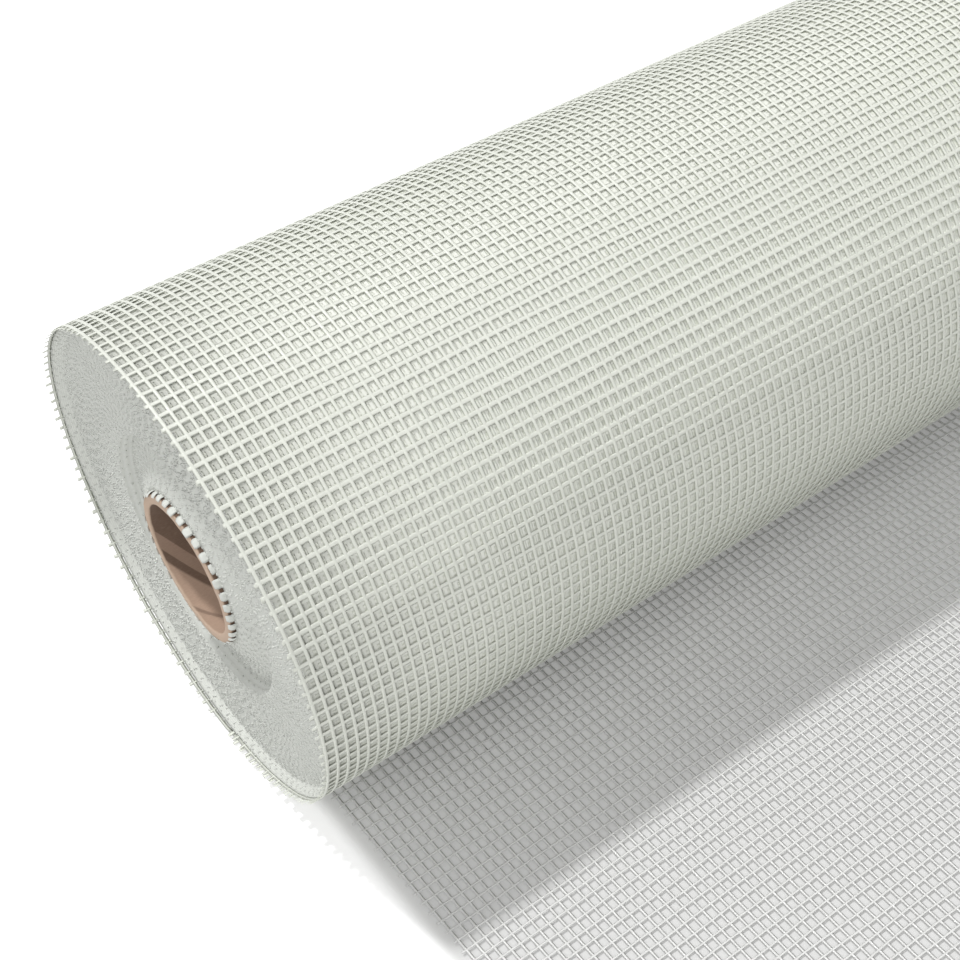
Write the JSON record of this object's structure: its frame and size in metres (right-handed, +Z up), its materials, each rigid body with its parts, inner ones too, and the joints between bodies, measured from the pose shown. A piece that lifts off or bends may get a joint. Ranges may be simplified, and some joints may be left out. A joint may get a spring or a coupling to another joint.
{
  "type": "fiberglass mesh roll",
  "caption": "Roll of open-weave glass-fibre reinforcing mesh on a cardboard core, lying on its side with its loose end run out flat in front.",
  "frame": {"origin": "middle of the part's footprint, on the ground it lies on", "axes": "+X along the roll's axis, +Z up, and the loose end runs out from under the roll towards -Y"},
  "size_m": [1.0154, 0.393, 0.1858],
  "materials": {
    "glass_mesh": "woven glass yarn with a dull alkali-resistant coating",
    "cardboard": "spiral-wound kraft cardboard, matt"
  },
  "bodies": {
    "root": {"mesh_roll": "glass_mesh", "cardboard_core": "cardboard"}
  },
  "joints": []
}
